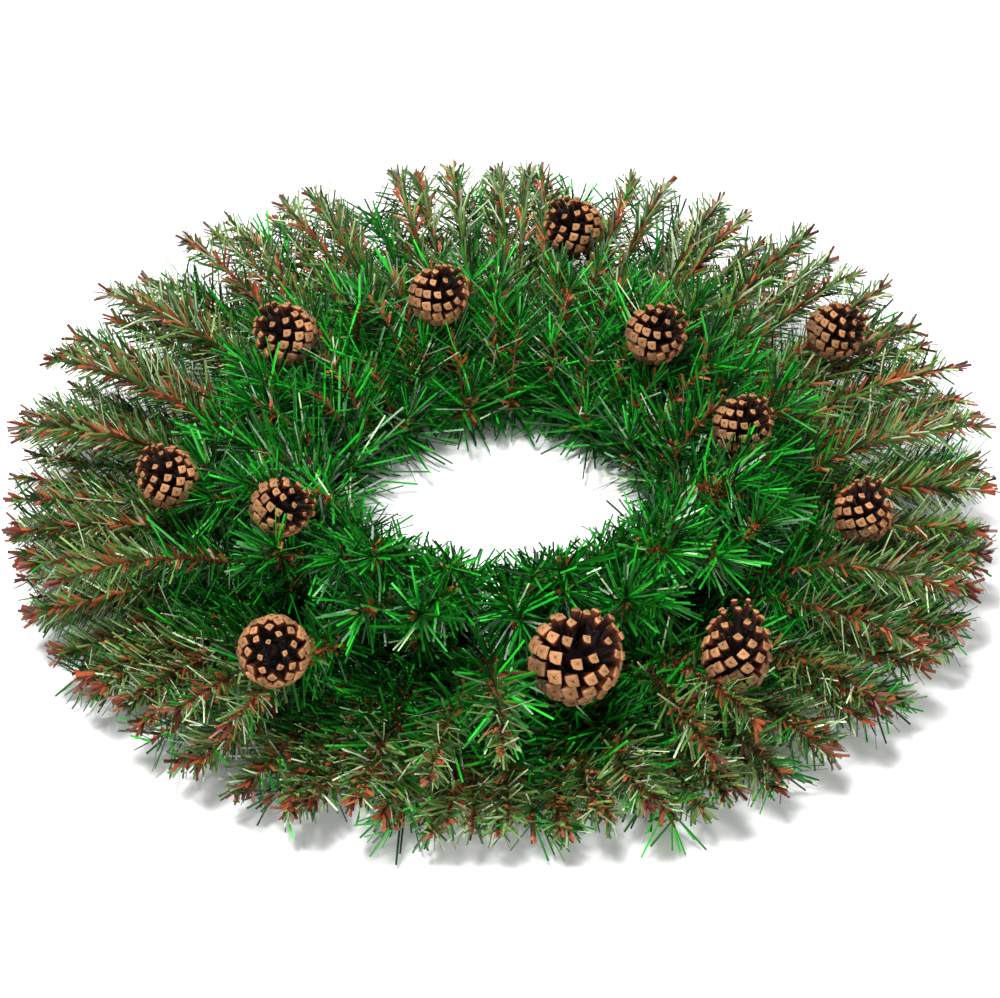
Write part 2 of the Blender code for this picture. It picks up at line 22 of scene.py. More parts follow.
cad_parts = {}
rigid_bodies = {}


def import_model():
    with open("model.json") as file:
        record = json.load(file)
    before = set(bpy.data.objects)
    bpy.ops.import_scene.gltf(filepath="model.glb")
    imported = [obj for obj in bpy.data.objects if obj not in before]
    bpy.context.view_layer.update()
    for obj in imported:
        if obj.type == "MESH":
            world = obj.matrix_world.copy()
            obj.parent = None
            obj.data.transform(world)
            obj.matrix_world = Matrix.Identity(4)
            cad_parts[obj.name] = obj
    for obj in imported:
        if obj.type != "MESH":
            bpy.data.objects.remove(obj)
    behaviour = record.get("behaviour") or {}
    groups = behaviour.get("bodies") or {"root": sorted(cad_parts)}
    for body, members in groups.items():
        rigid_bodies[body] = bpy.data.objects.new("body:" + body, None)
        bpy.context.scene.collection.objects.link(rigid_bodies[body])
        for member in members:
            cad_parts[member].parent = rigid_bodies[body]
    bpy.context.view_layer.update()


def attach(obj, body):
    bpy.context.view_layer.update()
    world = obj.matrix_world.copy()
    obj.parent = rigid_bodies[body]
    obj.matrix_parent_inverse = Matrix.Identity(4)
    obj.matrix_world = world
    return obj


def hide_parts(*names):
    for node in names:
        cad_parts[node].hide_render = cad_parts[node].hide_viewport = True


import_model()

log = logging.getLogger("wreath")

BODY = "root"
TINT = "tint"
GOLDEN_ANGLE = math.pi * (3.0 - math.sqrt(5.0))
CONE_SCALES = 66
FILLER_PIECES = 12

# The same driving dimensions as the solids.
SEED = 11
RING_RADIUS = 0.135
RING_WIRE = 0.0029
RING_HALF_HEIGHT = RING_WIRE * math.sin(math.radians(60))
WIRE_FOOT = 0.0015
SEAT_GAP = 0.0003
FOOT_HEIGHT = 2 * RING_HALF_HEIGHT + SEAT_GAP + WIRE_FOOT
WIRE_CLEARANCE = 0.0042
PATH_STEPS = 96
FOOT_STEPS = 12
LAYOUT_TRIES = 60
RIM_SPRAYS = 24
RIM_TIP_HEIGHTS = ((0.082, 0.024), (0.063, 0.044))
RIM_LOW_TIP = 0.024
RIM_TIP_RADIUS = 0.292
RIM_DRAW_IN = 0.086
RIM_FOOT_RUN = 0.022
RIM_SHOULDER_RADIUS = 0.197
RIM_SHOULDER_TURN = 0.085
RIM_LOW_SHOULDER = 0.016
RIM_SHOULDER_RISE = 1.17
GREEN_SPRAYS = 20
GREEN_INNER_HIGH = (0.118, 0.056)
GREEN_INNER_LOW = (0.094, 0.034)
GREEN_OUTER_HIGH = (0.144, 0.088)
GREEN_OUTER_LOW = (0.176, 0.081)
GREEN_FOOT_RUN = 0.020
GREEN_HIGH_SHOULDER = 0.143
GREEN_LOW_SHOULDER = 0.158

# The further rim sprays: heights of their tips slot by slot, higher at the far side than at the near one.
FILLER_HEIGHTS = (0.068, 0.026, 0.042, 0.056)
FILLER_TILT = 0.026
FILLER_UNDER_HEIGHT = 0.032
FILLER_UPPER_HEIGHT = 0.056
FILLER_NEAR_HEIGHT = RIM_LOW_TIP + 0.010
NEAR_SIDE = -0.25
FILLER_TRIES = 20
FILLER_SPREAD_STEP = 0.15
FILLER_CONE_GAP = 0.004

# The further green sprays: radius of the low bend by the hole, then radius and height of the tip.
GREEN_FILLERS = 60
GREEN_FILLER_TIPS = ((0.086, 0.146, 0.086), (0.090, 0.178, 0.076), (0.082, 0.126, 0.068),
                     (0.088, 0.162, 0.084))

# Space that the fine needles keep to. The clearings are in lengths and widths of the cone.
OUTER_RADIUS = 0.300
INNER_RADIUS = 0.050
NEAR_LIMIT = 0.290
FLOOR_GAP = 0.0012
TOP_HEIGHT = 0.114
TIP_CLEARING = 1.25
CLOSE_CLEARING = 0.55
SIDE_CLEARING = 0.54
OUTER_KINDS_RADIUS = 0.192
OUTER_KINDS_SHIFT = 0.042
HOLE_EDGE = 0.108
CROWN_EDGE = 0.18
CROWN_SLOPE = 0.10
WALL_EDGE = 0.155
WALL_SLOPE = 0.80

# How the fine wires and needles are made.
WIRE_STRIDE = 6
WIRE_RADIUS = 0.0012
NEEDLE_THICKNESS = 0.00042
BLADE_WIDTH = 0.0026
TAPER_START = 0.82
HOLE_NEEDLE_LENGTH = 1.3
HOLE_NEEDLE_SHARE = 0.7
TONE_MIDDLE = 0.5
TONE_SPREAD = 0.22

# The photo's viewpoint.
VIEW_HEIGHT_DEG = 38.0
VIEW_DISTANCE = 1.8
VIEW_TARGET = Vector((0.0, 0.0, 0.04))
SENSOR = 36.0
LENS = 106.6
SHIFT_Y = -0.0194

# The studio: name, place, power in watts and width of each soft light.
LIGHTS = (("key", (-0.5, -0.3, 2.4), 96.0, 0.7),
          ("fill", (0.5, -2.3, 0.8), 42.0, 1.0),
          ("back", (0.3, 2.0, 1.8), 18.0, 1.0))
SKY_STRENGTH = 0.24
FLOOR_DROP = 0.0005


class Slot(Enum):
    """The record's material slots."""

    RING = "ring_wire"
    RIM = "rim_needles"
    GREEN = "green_needles"
    CONE = "cone_scales"


class Hue(Enum):
    """Where each kind of colour sits on the needles' colour ramp, from 0 to 1."""

    SHADE = 0.03
    GREEN = 0.16
    # Painted light: a lit copy of the plain green, lighter as if in full light.
    PAINTED_LIT_GREEN = 0.29
    DARK_OLIVE = 0.42
    OLIVE = 0.52
    # Painted highlight: pale needles that stand for the white gloss on glossy needles.
    PAINTED_HIGHLIGHT = 0.66
    BROWN = 0.79
    WIRE = 0.95


HUE_SPREAD = 0.035


def polar(radius: float, angle: float, height: float) -> np.ndarray:
    """Return the point at this radius, angle in radians and height."""
    return np.array([radius * math.cos(angle), radius * math.sin(angle), height])


def bezier(start: np.ndarray, first: np.ndarray, second: np.ndarray, end: np.ndarray) -> np.ndarray:
    """Return points of a cubic curve, evenly spaced in its parameter."""
    t = np.linspace(0, 1, PATH_STEPS)[:, None]
    return ((1 - t) ** 3 * start + 3 * (1 - t) ** 2 * t * first
            + 3 * (1 - t) * t ** 2 * second + t ** 3 * end)


@dataclass(frozen=True)
class ConePlace:
    """Where a pine cone sits and how it leans.

    Args:
        azimuth: Angle round the ring, in degrees.
        radius: Distance of the cone's middle from the ring's axis.
        height: Height of the cone's middle.
        across: Lean of the tip across the photo.
        up: Lean of the tip up the photo.
        towards: Lean of the tip towards the viewer.
        length: Length from base to tip.
        width: Greatest width.
        sunk: Whether needles close over its tip.
    """

    azimuth: float
    radius: float
    height: float
    across: float
    up: float
    towards: float
    length: float
    width: float
    sunk: bool = False

    @property
    def middle(self) -> np.ndarray:
        """Return the cone's middle."""
        return polar(self.radius, math.radians(self.azimuth), self.height)

    @property
    def axis(self) -> np.ndarray:
        """Return the unit direction from base to tip."""
        view = math.radians(VIEW_HEIGHT_DEG)
        axis = np.array([self.across, self.up * math.sin(view) - self.towards * math.cos(view),
                         self.up * math.cos(view) + self.towards * math.sin(view)])
        return axis / np.linalg.norm(axis)

    @property
    def base(self) -> np.ndarray:
        """Return the middle of the cone's base."""
        return self.middle - self.axis * self.length * 0.5


CONES = (
    ConePlace(78, 0.222, 0.084, -0.50, 0.60, 0.50, 0.040, 0.037),
    ConePlace(106, 0.132, 0.092, 0.50, 0.60, 0.50, 0.038, 0.036),
    ConePlace(149, 0.158, 0.094, -0.50, 0.55, 0.50, 0.040, 0.037),
    ConePlace(40, 0.130, 0.092, 0.60, 0.45, 0.50, 0.038, 0.036),
    ConePlace(25, 0.236, 0.082, 0.75, 0.30, 0.45, 0.038, 0.034),
    ConePlace(-4, 0.147, 0.092, 0.50, 0.60, 0.50, 0.037, 0.034),
    ConePlace(-166, 0.203, 0.084, -0.40, 0.60, 0.50, 0.038, 0.034),
    ConePlace(-143, 0.153, 0.092, 0.75, 0.10, 0.50, 0.037, 0.033),
    ConePlace(-21, 0.226, 0.084, 0.25, 0.80, 0.40, 0.037, 0.033),
    ConePlace(-120, 0.245, 0.088, 0.05, 0.10, 1.00, 0.036, 0.038),
    ConePlace(-78, 0.214, 0.086, 0.50, 0.60, 0.55, 0.052, 0.049),
    ConePlace(-57, 0.238, 0.084, 0.05, 0.90, 0.35, 0.050, 0.037),
    ConePlace(172, 0.154, 0.056, -0.30, 0.60, 0.50, 0.036, 0.033, sunk=True),
)

Arm = np.ndarray
Draw = Callable[[float, np.random.Generator], list[Arm]]


@dataclass
class SprayLayout:
    """The rule that lays the wires of the sprays round the ring, the same as for the solids."""

    rims: list[list[Arm]] = field(default_factory=list)
    greens: list[list[Arm]] = field(default_factory=list)

    @staticmethod
    def rim_arm(foot_angle: float, side: int, tip_height: float, spread: float,
                rng: np.random.Generator) -> Arm:
        """Return the path of one end of a rim spray, from the ring out to its tip.

        Args:
            foot_angle: Angle at which the spray is wound on the ring.
            side: Way round the ring that this end runs, 1 or -1.
            tip_height: Height of the tip.
            spread: How much the draw may stray.
            rng: Source of the draw.

        Returns:
            The path.
        """
        rise = tip_height - RIM_LOW_TIP
        tip_angle = foot_angle + side * math.pi / (2 * RIM_SPRAYS) + rng.normal(0, 0.005 * spread)
        radius = RIM_TIP_RADIUS - RIM_DRAW_IN * rise + rng.uniform(-0.003, 0.0)
        tip = polar(radius, tip_angle, tip_height + rng.uniform(-0.09, 0.03) * rise * spread)
        start = polar(RING_RADIUS, foot_angle, FOOT_HEIGHT)
        along = np.array([-math.sin(foot_angle), math.cos(foot_angle), 0.0]) * side
        first = start + along * (RIM_FOOT_RUN + rng.uniform(0, 0.004))
        shoulder_angle = foot_angle + side * RIM_SHOULDER_TURN + rng.uniform(-0.01, 0.01) * spread
        shoulder = RIM_LOW_SHOULDER + RIM_SHOULDER_RISE * rise + rng.uniform(-0.09, 0.02) * rise * spread
        return bezier(start, first, polar(RIM_SHOULDER_RADIUS, shoulder_angle, shoulder), tip)

    @staticmethod
    def green_arm(foot_angle: float, inward: bool, high: bool, spread: float,
                  rng: np.random.Generator) -> Arm:
        """Return the path of one end of a green spray: towards the hole, or up over the crown.

        Args:
            foot_angle: Angle at which the spray is wound on the ring.
            inward: Whether this end leans towards the hole.
            high: Whether this end is the high one of its kind.
            spread: How much the draw may stray.
            rng: Source of the draw.

        Returns:
            The path.
        """
        turn = rng.uniform(-0.08, 0.08) * spread
        lift = rng.uniform(-0.004, 0.004) * spread
        start = polar(RING_RADIUS, foot_angle, FOOT_HEIGHT)
        if inward:
            reach, height = GREEN_INNER_HIGH if high else GREEN_INNER_LOW
            height += lift
            first = polar(RING_RADIUS - GREEN_FOOT_RUN, foot_angle, FOOT_HEIGHT + 0.001)
            second = polar(reach - 0.004, foot_angle + turn * 0.5, height * 0.45)
            tip = polar(reach + rng.uniform(-0.003, 0.003), foot_angle + turn, height)
        else:
            reach, height = GREEN_OUTER_HIGH if high else GREEN_OUTER_LOW
            height += lift * 0.5
            first = polar(RING_RADIUS + GREEN_FOOT_RUN, foot_angle, FOOT_HEIGHT + 0.001)
            shoulder = GREEN_HIGH_SHOULDER if high else GREEN_LOW_SHOULDER
            second = polar(shoulder, foot_angle + turn * 0.5, height * 0.66)
            tip = polar(reach + rng.uniform(-0.005, 0.005) * spread, foot_angle + turn, height)
        return bezier(start, first, second, tip)

    @staticmethod
    def nearest_gap(path: np.ndarray, others: np.ndarray) -> float:
        """Return the smallest distance from any point of a path to any point of the others.

        Args:
            path: The path's points.
            others: Points of the paths that are already there.

        Returns:
            The distance.
        """
        if not len(others):
            return 1.0
        return float(np.sqrt(((path[:, None] - others[None]) ** 2).sum(axis=2).min()))

    @staticmethod
    def cone_gap(points: np.ndarray) -> float:
        """Return the smallest distance, roughly, from points to the surface of any cone.

        Args:
            points: The points.

        Returns:
            The distance, negative inside a cone.
        """
        best = 1.0
        for cone in CONES:
            away = points - cone.middle
            along = away @ cone.axis
            across = np.linalg.norm(away - along[:, None] * cone.axis, axis=1)
            share = np.sqrt((along / (cone.length * 0.60)) ** 2 + (across / (cone.width * 0.57)) ** 2)
            best = min(best, float(((share - 1) * cone.width * 0.5).min()))
        return best

    def placed(self, draw: Draw, taken: np.ndarray, rng: np.random.Generator) -> list[Arm]:
        """Return the first of several random draws that keeps clear of what is already there.

        Args:
            draw: Draws the arms of one spray, more widely as its first argument grows.
            taken: Points of the arms that are already there.
            rng: Source of the draws.

        Returns:
            The arms, or those of the best draw where none is clear.
        """
        best, best_gap = None, -1.0
        for attempt in range(LAYOUT_TRIES):
            arms = draw(1.0 + 3.0 * attempt / LAYOUT_TRIES, rng)
            free = np.concatenate([arm[FOOT_STEPS:] for arm in arms])
            gap = min(self.nearest_gap(free, taken), self.cone_gap(free) + 0.001)
            if gap > best_gap:
                best, best_gap = arms, gap
            if gap > WIRE_CLEARANCE:
                break
        return best

    def lay(self) -> None:
        """Fill rims and greens with the two arms of every spray."""
        rng = np.random.default_rng(SEED)
        taken = np.zeros((0, 3))
        for index in range(RIM_SPRAYS):
            angle = 2 * math.pi * (index + 0.25) / RIM_SPRAYS
            flip = 1 if index % 2 else -1
            upper, lower = RIM_TIP_HEIGHTS[index % 2]
            arms = self.placed(lambda w, r: [self.rim_arm(angle, flip, upper, w, r),
                                             self.rim_arm(angle, -flip, lower, w, r)], taken, rng)
            self.rims.append(arms)
            taken = np.concatenate([taken] + arms)
        for index in range(GREEN_SPRAYS):
            gap = index * RIM_SPRAYS // GREEN_SPRAYS
            angle = 2 * math.pi * (gap + 0.75) / RIM_SPRAYS
            high = index % 2 == 0
            arms = self.placed(lambda w, r: [self.green_arm(angle, True, high, w, r),
                                             self.green_arm(angle, False, not high, w, r)], taken, rng)
            self.greens.append(arms)
            taken = np.concatenate([taken] + arms)


@dataclass
class Stamp:
    """A small closed mesh that is copied many times into one piece."""

    mesh: bpy.types.Mesh
    base: np.ndarray
    along: np.ndarray

    @classmethod
    def from_bmesh(cls, name: str, bm: bmesh.types.BMesh) -> Stamp:
        """Keep a finished bmesh as a stamp, with a tint for each of its points.

        Args:
            name: Name of the mesh.
            bm: The shape, which this uses up.

        Returns:
            The stamp.
        """
        mesh = bpy.data.meshes.new(name)
        bm.to_mesh(mesh)
        bm.free()
        mesh.color_attributes.new(TINT, "FLOAT_COLOR", "POINT")
        base = np.empty(len(mesh.vertices) * 3, np.float32)
        mesh.vertices.foreach_get("co", base)
        along = base.reshape(-1, 3)[:, 1]
        return cls(mesh, base, np.clip(along / along.max(), 0.0, 1.0))

    def press(self, target: bmesh.types.BMesh, place: Matrix, hue: float, tone: float) -> None:
        """Copy the stamp into a piece.

        Args:
            target: The piece's mesh.
            place: Where the copy goes, its scale included.
            hue: Place on the material's colour ramp.
            tone: Lightness, about 0.5 for the plain colour.
        """
        self.mesh.vertices.foreach_set("co", self.base)
        self.mesh.transform(place)
        count = len(self.along)
        tint = np.empty((count, 4), np.float32)
        tint[:, 0] = hue
        tint[:, 1] = tone
        tint[:, 2] = self.along
        tint[:, 3] = 1.0
        self.mesh.attributes[TINT].data.foreach_set("color", tint.ravel())
        target.from_mesh(self.mesh)


def strip_stamp(name: str, bends: int, bow: float, end: float) -> Stamp:
    """Make a flat three-sided strip, one unit long along Y, one wide along X and one thick along Z.

    Args:
        name: Name of the mesh.
        bends: Number of straight runs along its length.
        bow: How far its end bows along Z, in thicknesses.
        end: Width of its end as a share of its width.

    Returns:
        The stamp.
    """
    bm = bmesh.new()
    bmesh.ops.create_cone(bm, cap_ends=True, segments=3, radius1=0.58, radius2=0.58 * end, depth=1.0,
                          matrix=Matrix.Translation((0, 0.5, 0)) @ Matrix.Rotation(-math.pi / 2, 4, "X"))
    long_edges = [edge for edge in bm.edges if abs(edge.verts[0].co.y - edge.verts[1].co.y) > 0.5]
    if bends > 1:
        bmesh.ops.subdivide_edges(bm, edges=long_edges, cuts=bends - 1, use_grid_fill=False)
    for vert in bm.verts:
        vert.co.z += bow * vert.co.y ** 2
    bmesh.ops.triangulate(bm, faces=bm.faces)
    bmesh.ops.recalc_face_normals(bm, faces=bm.faces)
    return Stamp.from_bmesh(name, bm)


@dataclass(frozen=True)
class NeedleKind:
    """One kind of needle in a spray.

    Args:
        share: Share of the spray's needles that are of this kind.
        hues: The colours it comes in.
        length: Shortest and longest.
        width: Width of the strip.
        lean: Least and greatest angle from the wire, in degrees.
    """

    share: float
    hues: tuple[Hue, ...]
    length: tuple[float, float]
    width: float
    lean: tuple[float, float]


@dataclass(frozen=True)
class SprayStyle:
    """How a spray's needles stand on its wire.

    Args:
        kinds: The kinds of needle beyond the crown.
        per_metre: Number of needles for each metre of wire.
        bare: Share of the arm, from the ring, with no needles.
        taper: How much shorter the needles are at the tip.
        slot: Material slot. Not used.
        star: The needles of the tuft that ends an arm, its share being their number.
    """

    kinds: tuple[NeedleKind, ...]
    per_metre: float
    bare: float
    taper: float
    slot: Slot
    star: NeedleKind


RIM_KINDS = (
    NeedleKind(0.46, (Hue.OLIVE, Hue.OLIVE, Hue.OLIVE, Hue.DARK_OLIVE), (0.017, 0.024), 0.0015, (42, 64)),
    NeedleKind(0.07, (Hue.GREEN,), (0.020, 0.028), 0.0014, (42, 68)),
    NeedleKind(0.30, (Hue.BROWN,), (0.008, 0.014), 0.0021, (34, 62)),
    NeedleKind(0.08, (Hue.DARK_OLIVE,), (0.015, 0.021), 0.0036, (38, 60)),
    # These pale needles are a painted highlight, the white gloss of glossy needles.
    NeedleKind(0.09, (Hue.PAINTED_HIGHLIGHT,), (0.018, 0.028), 0.0011, (36, 76)),
)

GREEN_KINDS = (
    # Some of the green needles are painted light, lit copies of the plain green.
    NeedleKind(0.48, (Hue.GREEN, Hue.GREEN, Hue.PAINTED_LIT_GREEN), (0.024, 0.038), 0.0015, (40, 68)),
    NeedleKind(0.26, (Hue.SHADE,), (0.022, 0.034), 0.0014, (42, 72)),
    # These pale needles are a painted highlight, the white gloss of glossy needles.
    NeedleKind(0.03, (Hue.PAINTED_HIGHLIGHT,), (0.022, 0.030), 0.0011, (38, 80)),
    NeedleKind(0.23, (Hue.BROWN,), (0.004, 0.010), 0.0020, (46, 80)),
)

RIM_STYLE = SprayStyle(
    kinds=RIM_KINDS, per_metre=1950.0, bare=0.06, taper=0.55, slot=Slot.RIM,
    star=NeedleKind(7.0, (Hue.WIRE, Hue.WIRE, Hue.BROWN), (0.009, 0.014), 0.0024, (6, 48)))

# The green sprays' tip tufts mix the plain green with painted light and painted shade copies of it.
GREEN_STYLE = SprayStyle(
    kinds=RIM_KINDS, per_metre=2500.0, bare=0.08, taper=0.15, slot=Slot.GREEN,
    star=NeedleKind(16.0, (Hue.GREEN, Hue.PAINTED_LIT_GREEN, Hue.SHADE), (0.018, 0.028), 0.0014, (6, 44)))

# Its tip tuft mixes the plain green with a painted light copy of it.
UNDER_STYLE = SprayStyle(
    kinds=GREEN_KINDS, per_metre=1700.0, bare=0.10, taper=0.30, slot=Slot.GREEN,
    star=NeedleKind(8.0, (Hue.GREEN, Hue.PAINTED_LIT_GREEN), (0.012, 0.018), 0.0014, (6, 44)))


@dataclass
class Needles:
    """A set of needles along a wire, held as arrays.

    Args:
        start: Where each leaves the wire.
        ahead: The wire's direction there.
        way: Direction of each.
        length: Length of each.
        width: Width of each.
        hue: Place of each on the colour ramp.
    """

    start: np.ndarray
    ahead: np.ndarray
    way: np.ndarray
    length: np.ndarray
    width: np.ndarray
    hue: np.ndarray

    def keep_in(self, rng: np.random.Generator) -> None:
        """Lift the ends that would touch the floor and drop the needles that leave their space.

        Args:
            rng: Source of the small differences in height at the floor.
        """
        floor = FLOOR_GAP + rng.uniform(0.0, 0.003, len(self.length))
        lowest = np.minimum((floor - self.start[:, 2]) / self.length, 0.0)
        low = self.way[:, 2] < lowest
        # A needle that would reach the floor lies flatter, its length unchanged.
        level = np.sqrt((1.0 - lowest ** 2) / np.maximum(1.0 - self.way[:, 2] ** 2, 1e-6))
        self.way[low, :2] *= level[low, None]
        self.way[low, 2] = lowest[low]
        ends = self.start + self.way * self.length[:, None]
        reach = np.hypot(ends[:, 0], ends[:, 1])
        ceiling = (TOP_HEIGHT - CROWN_SLOPE * np.maximum(0.0, reach - CROWN_EDGE)
                   - WALL_SLOPE * np.maximum(0.0, WALL_EDGE - reach))
        good = (ends[:, 2] < ceiling) & (reach < OUTER_RADIUS) & (reach > INNER_RADIUS)
        good &= ends[:, 1] > -NEAR_LIMIT
        for share in (0.35, 0.7, 1.0):
            good &= cones_clear(self.start + self.way * (self.length * share)[:, None])
        for name in ("start", "ahead", "way", "length", "width", "hue"):
            setattr(self, name, getattr(self, name)[good])

    def places(self, rng: np.random.Generator) -> np.ndarray:
        """Return the placing matrix of each needle, its flat side turned about at random.

        Args:
            rng: Source of the turns.

        Returns:
            The matrices, needles by 4 by 4.
        """
        flat = np.cross(self.way, self.ahead) + rng.normal(0, 0.45, self.way.shape)
        flat -= self.way * (flat * self.way).sum(axis=1)[:, None]
        flat /= np.linalg.norm(flat, axis=1)[:, None]
        normal = np.cross(flat, self.way)
        matrices = np.zeros((len(self.length), 4, 4))
        matrices[:, :3, 0] = flat * self.width[:, None]
        matrices[:, :3, 1] = self.way * self.length[:, None]
        matrices[:, :3, 2] = normal * NEEDLE_THICKNESS
        matrices[:, :3, 3] = self.start
        matrices[:, 3, 3] = 1.0
        return matrices


def cones_clear(points: np.ndarray) -> np.ndarray:
    """Return whether each point is outside every cone and outside the clearing that its tip faces.

    Args:
        points: The points.

    Returns:
        The answer for each point.
    """
    clear = np.ones(len(points), bool)
    for cone in CONES:
        away = points - cone.middle
        along = away @ cone.axis
        across = np.linalg.norm(away - along[:, None] * cone.axis, axis=1)
        beyond_tip = CLOSE_CLEARING if cone.sunk else TIP_CLEARING
        reach = np.where(along > 0, beyond_tip * cone.length, CLOSE_CLEARING * cone.length)
        clear &= (along / reach) ** 2 + (across / (cone.width * SIDE_CLEARING)) ** 2 > 1.0
    return clear


@dataclass
class SprayBuilder:
    """Builds fine sprays out of wires and needles."""

    rng: np.random.Generator
    strips: list[Stamp] = field(default_factory=list)
    blades: list[Stamp] = field(default_factory=list)

    def __post_init__(self) -> None:
        """Make the strips that all the needles are copies of."""
        straight = strip_stamp("strip_straight", 1, 0.0, 0.8)
        self.strips = [straight, strip_stamp("strip_bowed", 2, 5.0, 0.8)]
        self.blades = [strip_stamp("blade", 2, 7.0, 0.3)]

    def wire(self, bm: bmesh.types.BMesh, arms: Sequence[Arm], radius: float) -> None:
        """Add the twisted wire that runs along the arms, as a bent tube with closed ends.

        Args:
            bm: The piece's mesh.
            arms: Paths of the arms.
            radius: Radius of the wire at the ring.
        """
        curve = bpy.data.curves.new("wire", "CURVE")
        curve.dimensions = "3D"
        curve.bevel_depth = radius
        curve.bevel_resolution = 1
        curve.use_fill_caps = True
        for arm in arms:
            points = np.concatenate([arm[:-1:WIRE_STRIDE], arm[-1:]])
            spline = curve.splines.new("POLY")
            spline.points.add(len(points) - 1)
            spline.points.foreach_set("co", np.c_[points, np.ones(len(points))].ravel())
            spline.points.foreach_set("radius", np.linspace(1.0, 0.7, len(points)))
        holder = bpy.data.objects.new("wire", curve)
        bpy.context.scene.collection.objects.link(holder)
        mesh = bpy.data.meshes.new_from_object(holder.evaluated_get(
            bpy.context.evaluated_depsgraph_get()))
        layer = mesh.color_attributes.new(TINT, "FLOAT_COLOR", "POINT")
        layer.data.foreach_set("color", [Hue.WIRE.value, 0.5, 0.5, 1.0] * len(mesh.vertices))
        bm.from_mesh(mesh)
        bpy.data.objects.remove(holder)
        bpy.data.curves.remove(curve)
        bpy.data.meshes.remove(mesh)

    @staticmethod
    def around(along: np.ndarray, turn: np.ndarray) -> np.ndarray:
        """Return the direction away from each wire direction at this turn round it.

        Args:
            along: The wire directions.
            turn: The turn of each, in radians.

        Returns:
            The directions.
        """
        helper = np.where(np.abs(along[:, 2:]) < 0.9, (0.0, 0.0, 1.0), (1.0, 0.0, 0.0))
        first = np.cross(along, helper)
        first /= np.linalg.norm(first, axis=1)[:, None]
        return np.cos(turn)[:, None] * first + np.sin(turn)[:, None] * np.cross(along, first)

    def drawn(self, kinds: Sequence[NeedleKind], start: np.ndarray, ahead: np.ndarray,
              scale: np.ndarray) -> Needles:
        """Draw one needle at each start, turning steadily round the wire.

        Args:
            kinds: The kinds of needle to choose from.
            start: Where each needle leaves the wire.
            ahead: The wire's direction there.
            scale: Length of each as a share of its kind's length.

        Returns:
            The needles.
        """
        rng, count = self.rng, len(start)
        weights = np.array([kind.share for kind in kinds])
        picks = rng.choice(len(kinds), count, p=weights / weights.sum())
        lengths = np.array([kind.length for kind in kinds])[picks]
        leans = np.array([kind.lean for kind in kinds])[picks]
        lean = np.radians(rng.uniform(leans[:, 0], leans[:, 1]))
        turn = rng.uniform(0, 2 * math.pi) + GOLDEN_ANGLE * np.arange(count) + rng.normal(0, 0.25, count)
        way = np.cos(lean)[:, None] * ahead + np.sin(lean)[:, None] * self.around(ahead, turn)
        hue = np.array([kinds[pick].hues[int(rng.integers(len(kinds[pick].hues)))].value
                        for pick in picks])
        return Needles(start, ahead, way, rng.uniform(lengths[:, 0], lengths[:, 1]) * scale,
                       np.array([kind.width for kind in kinds])[picks],
                       hue + rng.uniform(-HUE_SPREAD, HUE_SPREAD, count))

    def press(self, bm: bmesh.types.BMesh, needles: Needles) -> None:
        """Press the needles that stay in their space into a piece.

        Args:
            bm: The piece's mesh.
            needles: The needles, which lose those that leave their space.
        """
        needles.keep_in(self.rng)
        tones = np.clip(self.rng.normal(TONE_MIDDLE, TONE_SPREAD, len(needles.hue)), 0.0, 1.0)
        for place, width, hue, tone in zip(needles.places(self.rng), needles.width, needles.hue, tones):
            stamps = self.blades if width > BLADE_WIDTH else self.strips
            stamps[int(self.rng.integers(len(stamps)))].press(bm, Matrix(place), hue, tone)

    def arm(self, bm: bmesh.types.BMesh, path: Arm, style: SprayStyle) -> None:
        """Set needles along one arm and a tuft at its tip.

        Args:
            bm: The piece's mesh.
            path: The arm's path.
            style: How its needles stand.
        """
        rng = self.rng
        run = np.concatenate([[0.0], np.cumsum(np.linalg.norm(np.diff(path, axis=0), axis=1))])
        total = float(run[-1])
        count = int(style.per_metre * total * (1 - style.bare))
        shares = style.bare + (1 - style.bare) * (np.arange(count) + rng.uniform(0, 1, count)) / count
        start = at_run(path, run, shares * total)
        ahead = at_run(path, run, np.minimum(shares * total + 0.003, total)) - at_run(
            path, run, np.minimum(shares * total, total - 0.001))
        ahead /= np.linalg.norm(ahead, axis=1)[:, None]
        scale = 1.0 - style.taper * np.maximum(0.0, (shares - TAPER_START) / (1.0 - TAPER_START))
        # Round the hole the needles are longer and fewer.
        edge = np.hypot(start[:, 0], start[:, 1]) < HOLE_EDGE
        scale[edge] *= HOLE_NEEDLE_LENGTH
        reach = np.hypot(start[:, 0], start[:, 1] + OUTER_KINDS_SHIFT) + rng.normal(0, 0.010, count)
        beyond = reach > OUTER_KINDS_RADIUS
        kept = ~edge | (rng.uniform(0, 1, count) < HOLE_NEEDLE_SHARE)
        for kinds, some in ((GREEN_KINDS, ~beyond & kept), (style.kinds, beyond)):
            self.press(bm, self.drawn(kinds, start[some], ahead[some], scale[some]))
        tips = int(style.star.share)
        self.press(bm, self.drawn((style.star,), np.tile(path[-1], (tips, 1)),
                                  np.tile(ahead[-1], (tips, 1)), np.ones(tips)))

    def spray(self, name: str, arms: Sequence[Arm], style: SprayStyle, finish: bpy.types.Material,
              node: str | None = None) -> bpy.types.Object:
        """Build one fine spray.

        Args:
            name: Name of the piece.
            arms: Paths of its arms, from the ring outwards.
            style: How its needles stand.
            finish: Material.
            node: The solid that it stands for, if there is one.

        Returns:
            The piece.
        """
        bm = bmesh.new()
        self.wire(bm, arms, WIRE_RADIUS)
        for path in arms:
            self.arm(bm, path, style)
        return finished_piece(name, bm, finish, node, smooth=False)


def at_run(path: Arm, run: np.ndarray, where: np.ndarray) -> np.ndarray:
    """Return the points of a path at these distances along it."""
    return np.stack([np.interp(where, run, path[:, k]) for k in range(3)], axis=1)


